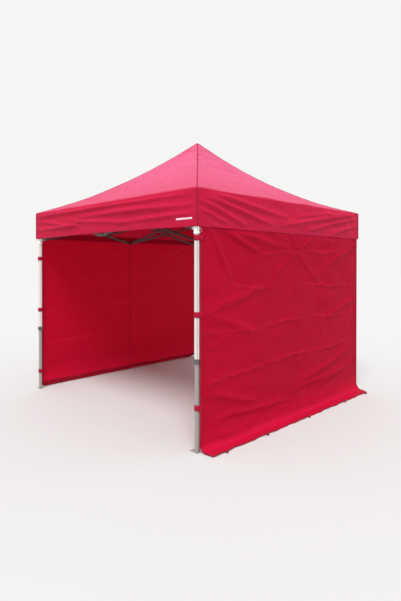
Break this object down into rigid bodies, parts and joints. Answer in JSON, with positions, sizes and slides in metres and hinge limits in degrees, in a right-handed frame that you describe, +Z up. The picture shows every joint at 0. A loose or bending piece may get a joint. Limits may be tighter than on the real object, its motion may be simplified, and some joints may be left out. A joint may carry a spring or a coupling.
{
  "type": "pop up gazebo",
  "caption": "Square pop up gazebo with a hollow pyramid roof, valance and side walls on a folding scissor truss with telescoping hexagonal legs.",
  "frame": {"origin": "on the ground, in the middle of the four legs", "axes": "+Z up; the open front faces -Y and the side walls are on +X and -X"},
  "size_m": [3.3314, 3.0294, 3.23],
  "materials": {
    "roof_fabric": "coated polyester, plain weave",
    "wall_fabric": "coated polyester, plain weave",
    "bar_steel": "white powder coat",
    "leg_steel": "white powder coat",
    "lower_leg_steel": "grey powder coat",
    "mast_steel": "white powder coat",
    "plated_steel": "zinc plated",
    "nylon": "moulded nylon"
  },
  "bodies": {
    "upper_hub": {"upper_hub": "nylon", "canopy": "roof_fabric"},
    "lower_hub": {"lower_hub": "nylon", "mast_tube": "mast_steel"},
    "mast_rod": {"mast_rod": "mast_steel", "mast_cap": "nylon"},
    "spoke_a_right": {"spoke_a_right": "bar_steel"},
    "spoke_b_right": {"spoke_b_right": "bar_steel"},
    "lower_bracket_right": {"lower_bracket_right": "nylon"},
    "truss_bar_a1_right": {"truss_bar_a1_right": "bar_steel"},
    "truss_bar_b1_right": {"truss_bar_b1_right": "bar_steel"},
    "truss_bar_a2_right": {"truss_bar_a2_right": "bar_steel"},
    "truss_bar_b2_right": {"truss_bar_b2_right": "bar_steel"},
    "upper_bracket_right": {"upper_bracket_right": "nylon", "side_wall_right": "wall_fabric"},
    "leg_back_right": {"leg_tube_back_right": "leg_steel", "leg_top_back_right": "nylon"},
    "slider_back_right": {"slider_back_right": "nylon"},
    "pull_pin_back_right": {"pull_pin_back_right": "plated_steel"},
    "lower_leg_back_right": {"lower_leg_back_right": "lower_leg_steel"},
    "spoke_a_back": {"spoke_a_back": "bar_steel"},
    "spoke_b_back": {"spoke_b_back": "bar_steel"},
    "lower_bracket_back": {"lower_bracket_back": "nylon"},
    "truss_bar_a1_back": {"truss_bar_a1_back": "bar_steel"},
    "truss_bar_b1_back": {"truss_bar_b1_back": "bar_steel"},
    "truss_bar_a2_back": {"truss_bar_a2_back": "bar_steel"},
    "truss_bar_b2_back": {"truss_bar_b2_back": "bar_steel"},
    "upper_bracket_back": {"upper_bracket_back": "nylon"},
    "leg_back_left": {"leg_tube_back_left": "leg_steel", "leg_top_back_left": "nylon"},
    "slider_back_left": {"slider_back_left": "nylon"},
    "pull_pin_back_left": {"pull_pin_back_left": "plated_steel"},
    "lower_leg_back_left": {"lower_leg_back_left": "lower_leg_steel"},
    "spoke_a_left": {"spoke_a_left": "bar_steel"},
    "spoke_b_left": {"spoke_b_left": "bar_steel"},
    "lower_bracket_left": {"lower_bracket_left": "nylon"},
    "truss_bar_a1_left": {"truss_bar_a1_left": "bar_steel"},
    "truss_bar_b1_left": {"truss_bar_b1_left": "bar_steel"},
    "truss_bar_a2_left": {"truss_bar_a2_left": "bar_steel"},
    "truss_bar_b2_left": {"truss_bar_b2_left": "bar_steel"},
    "upper_bracket_left": {"upper_bracket_left": "nylon", "side_wall_left": "wall_fabric"},
    "leg_front_left": {"leg_tube_front_left": "leg_steel", "leg_top_front_left": "nylon"},
    "slider_front_left": {"slider_front_left": "nylon"},
    "pull_pin_front_left": {"pull_pin_front_left": "plated_steel"},
    "lower_leg_front_left": {"lower_leg_front_left": "lower_leg_steel"},
    "spoke_a_front": {"spoke_a_front": "bar_steel"},
    "spoke_b_front": {"spoke_b_front": "bar_steel"},
    "lower_bracket_front": {"lower_bracket_front": "nylon"},
    "truss_bar_a1_front": {"truss_bar_a1_front": "bar_steel"},
    "truss_bar_b1_front": {"truss_bar_b1_front": "bar_steel"},
    "truss_bar_a2_front": {"truss_bar_a2_front": "bar_steel"},
    "truss_bar_b2_front": {"truss_bar_b2_front": "bar_steel"},
    "upper_bracket_front": {"upper_bracket_front": "nylon"},
    "leg_front_right": {"leg_tube_front_right": "leg_steel", "leg_top_front_right": "nylon"},
    "slider_front_right": {"slider_front_right": "nylon"},
    "pull_pin_front_right": {"pull_pin_front_right": "plated_steel"},
    "lower_leg_front_right": {"lower_leg_front_right": "lower_leg_steel"}
  },
  "joints": [
    {"name": "frame_fold", "type": "hinge", "parent": "upper_hub", "child": "spoke_a_right", "pos_m": [0.038, 0, 2.29], "axis": [0, 1, 0], "range_deg": [0, 74.5], "deforming": ["canopy"]},
    {"name": "spoke_b_right_fold", "type": "hinge", "parent": "spoke_a_right", "child": "spoke_b_right", "pos_m": [0.7295, 0, 2.1225], "axis": [0, 1, 0], "range_deg": [-149, 0]},
    {"name": "lower_bracket_right_fold", "type": "hinge", "parent": "spoke_a_right", "child": "lower_bracket_right", "pos_m": [1.421, 0, 1.955], "axis": [0, 1, 0], "range_deg": [-74.5, 0]},
    {"name": "upper_bracket_right_fold", "type": "hinge", "parent": "spoke_b_right", "child": "upper_bracket_right", "pos_m": [1.421, 0, 2.29], "axis": [0, 1, 0], "range_deg": [0, 74.5], "deforming": ["side_wall_right"]},
    {"name": "lower_hub_fold", "type": "hinge", "parent": "spoke_b_right", "child": "lower_hub", "pos_m": [0.038, 0, 1.955], "axis": [0, 1, 0], "range_deg": [0, 74.5]},
    {"name": "truss_bar_a1_right_fold", "type": "hinge", "parent": "lower_bracket_right", "child": "truss_bar_a1_right", "pos_m": [1.463, 0.03, 1.955], "axis": [1, 0, 0], "range_deg": [0, 74.5]},
    {"name": "truss_bar_b1_right_fold", "type": "hinge", "parent": "truss_bar_a1_right", "child": "truss_bar_b1_right", "pos_m": [1.463, 0.7215, 2.1225], "axis": [1, 0, 0], "range_deg": [-149, 0]},
    {"name": "leg_back_right_fold", "type": "hinge", "parent": "truss_bar_a1_right", "child": "leg_back_right", "pos_m": [1.463, 1.413, 2.29], "axis": [1, 0, 0], "range_deg": [-74.5, 0]},
    {"name": "slider_back_right_fold", "type": "hinge", "parent": "truss_bar_b1_right", "child": "slider_back_right", "pos_m": [1.463, 1.413, 1.955], "axis": [1, 0, 0], "range_deg": [0, 74.5]},
    {"name": "truss_bar_a2_right_fold", "type": "hinge", "parent": "lower_bracket_right", "child": "truss_bar_a2_right", "pos_m": [1.463, -0.03, 1.955], "axis": [1, 0, 0], "range_deg": [-74.5, 0]},
    {"name": "truss_bar_b2_right_fold", "type": "hinge", "parent": "truss_bar_a2_right", "child": "truss_bar_b2_right", "pos_m": [1.463, -0.7215, 2.1225], "axis": [1, 0, 0], "range_deg": [0, 149]},
    {"name": "lower_leg_back_right_slide", "type": "slide", "parent": "leg_back_right", "child": "lower_leg_back_right", "axis": [0, 0, 1], "range_m": [0, 0.7]},
    {"name": "pull_pin_back_right_pull", "type": "slide", "parent": "slider_back_right", "child": "pull_pin_back_right", "axis": [0.7071, 0.7071, 0], "range_m": [0, 0.008], "stiffness_N_per_m": 600, "springref_m": -0.004},
    {"name": "spoke_a_back_fold", "type": "hinge", "parent": "upper_hub", "child": "spoke_a_back", "pos_m": [0, 0.038, 2.29], "axis": [-1, 0, 0], "range_deg": [0, 74.5]},
    {"name": "spoke_b_back_fold", "type": "hinge", "parent": "spoke_a_back", "child": "spoke_b_back", "pos_m": [0, 0.7295, 2.1225], "axis": [-1, 0, 0], "range_deg": [-149, 0]},
    {"name": "lower_bracket_back_fold", "type": "hinge", "parent": "spoke_a_back", "child": "lower_bracket_back", "pos_m": [0, 1.421, 1.955], "axis": [-1, 0, 0], "range_deg": [-74.5, 0]},
    {"name": "upper_bracket_back_fold", "type": "hinge", "parent": "spoke_b_back", "child": "upper_bracket_back", "pos_m": [0, 1.421, 2.29], "axis": [-1, 0, 0], "range_deg": [0, 74.5]},
    {"name": "truss_bar_a1_back_fold", "type": "hinge", "parent": "lower_bracket_back", "child": "truss_bar_a1_back", "pos_m": [-0.03, 1.463, 1.955], "axis": [0, 1, 0], "range_deg": [0, 74.5]},
    {"name": "truss_bar_b1_back_fold", "type": "hinge", "parent": "truss_bar_a1_back", "child": "truss_bar_b1_back", "pos_m": [-0.7215, 1.463, 2.1225], "axis": [0, 1, 0], "range_deg": [-149, 0]},
    {"name": "leg_back_left_fold", "type": "hinge", "parent": "truss_bar_a1_back", "child": "leg_back_left", "pos_m": [-1.413, 1.463, 2.29], "axis": [0, 1, 0], "range_deg": [-74.5, 0]},
    {"name": "slider_back_left_fold", "type": "hinge", "parent": "truss_bar_b1_back", "child": "slider_back_left", "pos_m": [-1.413, 1.463, 1.955], "axis": [0, 1, 0], "range_deg": [0, 74.5]},
    {"name": "truss_bar_a2_back_fold", "type": "hinge", "parent": "lower_bracket_back", "child": "truss_bar_a2_back", "pos_m": [0.03, 1.463, 1.955], "axis": [0, 1, 0], "range_deg": [-74.5, 0]},
    {"name": "truss_bar_b2_back_fold", "type": "hinge", "parent": "truss_bar_a2_back", "child": "truss_bar_b2_back", "pos_m": [0.7215, 1.463, 2.1225], "axis": [0, 1, 0], "range_deg": [0, 149]},
    {"name": "lower_leg_back_left_slide", "type": "slide", "parent": "leg_back_left", "child": "lower_leg_back_left", "axis": [0, 0, 1], "range_m": [0, 0.7]},
    {"name": "pull_pin_back_left_pull", "type": "slide", "parent": "slider_back_left", "child": "pull_pin_back_left", "axis": [-0.7071, 0.7071, 0], "range_m": [0, 0.008], "stiffness_N_per_m": 600, "springref_m": -0.004},
    {"name": "spoke_a_left_fold", "type": "hinge", "parent": "upper_hub", "child": "spoke_a_left", "pos_m": [-0.038, 0, 2.29], "axis": [0, -1, 0], "range_deg": [0, 74.5]},
    {"name": "spoke_b_left_fold", "type": "hinge", "parent": "spoke_a_left", "child": "spoke_b_left", "pos_m": [-0.7295, 0, 2.1225], "axis": [0, -1, 0], "range_deg": [-149, 0]},
    {"name": "lower_bracket_left_fold", "type": "hinge", "parent": "spoke_a_left", "child": "lower_bracket_left", "pos_m": [-1.421, 0, 1.955], "axis": [0, -1, 0], "range_deg": [-74.5, 0]},
    {"name": "upper_bracket_left_fold", "type": "hinge", "parent": "spoke_b_left", "child": "upper_bracket_left", "pos_m": [-1.421, 0, 2.29], "axis": [0, -1, 0], "range_deg": [0, 74.5], "deforming": ["side_wall_left"]},
    {"name": "truss_bar_a1_left_fold", "type": "hinge", "parent": "lower_bracket_left", "child": "truss_bar_a1_left", "pos_m": [-1.463, -0.03, 1.955], "axis": [-1, 0, 0], "range_deg": [0, 74.5]},
    {"name": "truss_bar_b1_left_fold", "type": "hinge", "parent": "truss_bar_a1_left", "child": "truss_bar_b1_left", "pos_m": [-1.463, -0.7215, 2.1225], "axis": [-1, 0, 0], "range_deg": [-149, 0]},
    {"name": "leg_front_left_fold", "type": "hinge", "parent": "truss_bar_a1_left", "child": "leg_front_left", "pos_m": [-1.463, -1.413, 2.29], "axis": [-1, 0, 0], "range_deg": [-74.5, 0]},
    {"name": "slider_front_left_fold", "type": "hinge", "parent": "truss_bar_b1_left", "child": "slider_front_left", "pos_m": [-1.463, -1.413, 1.955], "axis": [-1, 0, 0], "range_deg": [0, 74.5]},
    {"name": "truss_bar_a2_left_fold", "type": "hinge", "parent": "lower_bracket_left", "child": "truss_bar_a2_left", "pos_m": [-1.463, 0.03, 1.955], "axis": [-1, 0, 0], "range_deg": [-74.5, 0]},
    {"name": "truss_bar_b2_left_fold", "type": "hinge", "parent": "truss_bar_a2_left", "child": "truss_bar_b2_left", "pos_m": [-1.463, 0.7215, 2.1225], "axis": [-1, 0, 0], "range_deg": [0, 149]},
    {"name": "lower_leg_front_left_slide", "type": "slide", "parent": "leg_front_left", "child": "lower_leg_front_left", "axis": [0, 0, 1], "range_m": [0, 0.7]},
    {"name": "pull_pin_front_left_pull", "type": "slide", "parent": "slider_front_left", "child": "pull_pin_front_left", "axis": [-0.7071, -0.7071, 0], "range_m": [0, 0.008], "stiffness_N_per_m": 600, "springref_m": -0.004},
    {"name": "spoke_a_front_fold", "type": "hinge", "parent": "upper_hub", "child": "spoke_a_front", "pos_m": [0, -0.038, 2.29], "axis": [1, 0, 0], "range_deg": [0, 74.5]},
    {"name": "spoke_b_front_fold", "type": "hinge", "parent": "spoke_a_front", "child": "spoke_b_front", "pos_m": [0, -0.7295, 2.1225], "axis": [1, 0, 0], "range_deg": [-149, 0]},
    {"name": "lower_bracket_front_fold", "type": "hinge", "parent": "spoke_a_front", "child": "lower_bracket_front", "pos_m": [0, -1.421, 1.955], "axis": [1, 0, 0], "range_deg": [-74.5, 0]},
    {"name": "upper_bracket_front_fold", "type": "hinge", "parent": "spoke_b_front", "child": "upper_bracket_front", "pos_m": [0, -1.421, 2.29], "axis": [1, 0, 0], "range_deg": [0, 74.5]},
    {"name": "truss_bar_a1_front_fold", "type": "hinge", "parent": "lower_bracket_front", "child": "truss_bar_a1_front", "pos_m": [0.03, -1.463, 1.955], "axis": [0, -1, 0], "range_deg": [0, 74.5]},
    {"name": "truss_bar_b1_front_fold", "type": "hinge", "parent": "truss_bar_a1_front", "child": "truss_bar_b1_front", "pos_m": [0.7215, -1.463, 2.1225], "axis": [0, -1, 0], "range_deg": [-149, 0]},
    {"name": "leg_front_right_fold", "type": "hinge", "parent": "truss_bar_a1_front", "child": "leg_front_right", "pos_m": [1.413, -1.463, 2.29], "axis": [0, -1, 0], "range_deg": [-74.5, 0]},
    {"name": "slider_front_right_fold", "type": "hinge", "parent": "truss_bar_b1_front", "child": "slider_front_right", "pos_m": [1.413, -1.463, 1.955], "axis": [0, -1, 0], "range_deg": [0, 74.5]},
    {"name": "truss_bar_a2_front_fold", "type": "hinge", "parent": "lower_bracket_front", "child": "truss_bar_a2_front", "pos_m": [-0.03, -1.463, 1.955], "axis": [0, -1, 0], "range_deg": [-74.5, 0]},
    {"name": "truss_bar_b2_front_fold", "type": "hinge", "parent": "truss_bar_a2_front", "child": "truss_bar_b2_front", "pos_m": [-0.7215, -1.463, 2.1225], "axis": [0, -1, 0], "range_deg": [0, 149]},
    {"name": "lower_leg_front_right_slide", "type": "slide", "parent": "leg_front_right", "child": "lower_leg_front_right", "axis": [0, 0, 1], "range_m": [0, 0.7]},
    {"name": "pull_pin_front_right_pull", "type": "slide", "parent": "slider_front_right", "child": "pull_pin_front_right", "axis": [0.7071, -0.7071, 0], "range_m": [0, 0.008], "stiffness_N_per_m": 600, "springref_m": -0.004},
    {"name": "mast_rod_slide", "type": "slide", "parent": "lower_hub", "child": "mast_rod", "axis": [0, 0, 1], "range_m": [0, 0.2185]}
  ],
  "couplings": [
    {"joint": "spoke_b_right_fold", "follows": "frame_fold", "ratio": -2},
    {"joint": "lower_bracket_right_fold", "follows": "frame_fold", "ratio": -1},
    {"joint": "upper_bracket_right_fold", "follows": "frame_fold", "ratio": 1},
    {"joint": "lower_hub_fold", "follows": "frame_fold", "ratio": 1},
    {"joint": "truss_bar_a1_right_fold", "follows": "frame_fold", "ratio": 1},
    {"joint": "truss_bar_b1_right_fold", "follows": "frame_fold", "ratio": -2},
    {"joint": "leg_back_right_fold", "follows": "frame_fold", "ratio": -1},
    {"joint": "slider_back_right_fold", "follows": "frame_fold", "ratio": 1},
    {"joint": "truss_bar_a2_right_fold", "follows": "frame_fold", "ratio": -1},
    {"joint": "truss_bar_b2_right_fold", "follows": "frame_fold", "ratio": 2},
    {"joint": "spoke_a_back_fold", "follows": "frame_fold", "ratio": 1},
    {"joint": "spoke_b_back_fold", "follows": "frame_fold", "ratio": -2},
    {"joint": "lower_bracket_back_fold", "follows": "frame_fold", "ratio": -1},
    {"joint": "upper_bracket_back_fold", "follows": "frame_fold", "ratio": 1},
    {"joint": "truss_bar_a1_back_fold", "follows": "frame_fold", "ratio": 1},
    {"joint": "truss_bar_b1_back_fold", "follows": "frame_fold", "ratio": -2},
    {"joint": "leg_back_left_fold", "follows": "frame_fold", "ratio": -1},
    {"joint": "slider_back_left_fold", "follows": "frame_fold", "ratio": 1},
    {"joint": "truss_bar_a2_back_fold", "follows": "frame_fold", "ratio": -1},
    {"joint": "truss_bar_b2_back_fold", "follows": "frame_fold", "ratio": 2},
    {"joint": "spoke_a_left_fold", "follows": "frame_fold", "ratio": 1},
    {"joint": "spoke_b_left_fold", "follows": "frame_fold", "ratio": -2},
    {"joint": "lower_bracket_left_fold", "follows": "frame_fold", "ratio": -1},
    {"joint": "upper_bracket_left_fold", "follows": "frame_fold", "ratio": 1},
    {"joint": "truss_bar_a1_left_fold", "follows": "frame_fold", "ratio": 1},
    {"joint": "truss_bar_b1_left_fold", "follows": "frame_fold", "ratio": -2},
    {"joint": "leg_front_left_fold", "follows": "frame_fold", "ratio": -1},
    {"joint": "slider_front_left_fold", "follows": "frame_fold", "ratio": 1},
    {"joint": "truss_bar_a2_left_fold", "follows": "frame_fold", "ratio": -1},
    {"joint": "truss_bar_b2_left_fold", "follows": "frame_fold", "ratio": 2},
    {"joint": "spoke_a_front_fold", "follows": "frame_fold", "ratio": 1},
    {"joint": "spoke_b_front_fold", "follows": "frame_fold", "ratio": -2},
    {"joint": "lower_bracket_front_fold", "follows": "frame_fold", "ratio": -1},
    {"joint": "upper_bracket_front_fold", "follows": "frame_fold", "ratio": 1},
    {"joint": "truss_bar_a1_front_fold", "follows": "frame_fold", "ratio": 1},
    {"joint": "truss_bar_b1_front_fold", "follows": "frame_fold", "ratio": -2},
    {"joint": "leg_front_right_fold", "follows": "frame_fold", "ratio": -1},
    {"joint": "slider_front_right_fold", "follows": "frame_fold", "ratio": 1},
    {"joint": "truss_bar_a2_front_fold", "follows": "frame_fold", "ratio": -1},
    {"joint": "truss_bar_b2_front_fold", "follows": "frame_fold", "ratio": 2},
    {"joint": "mast_rod_slide", "follows": "frame_fold", "m_per_rad": 0.16766}
  ]
}
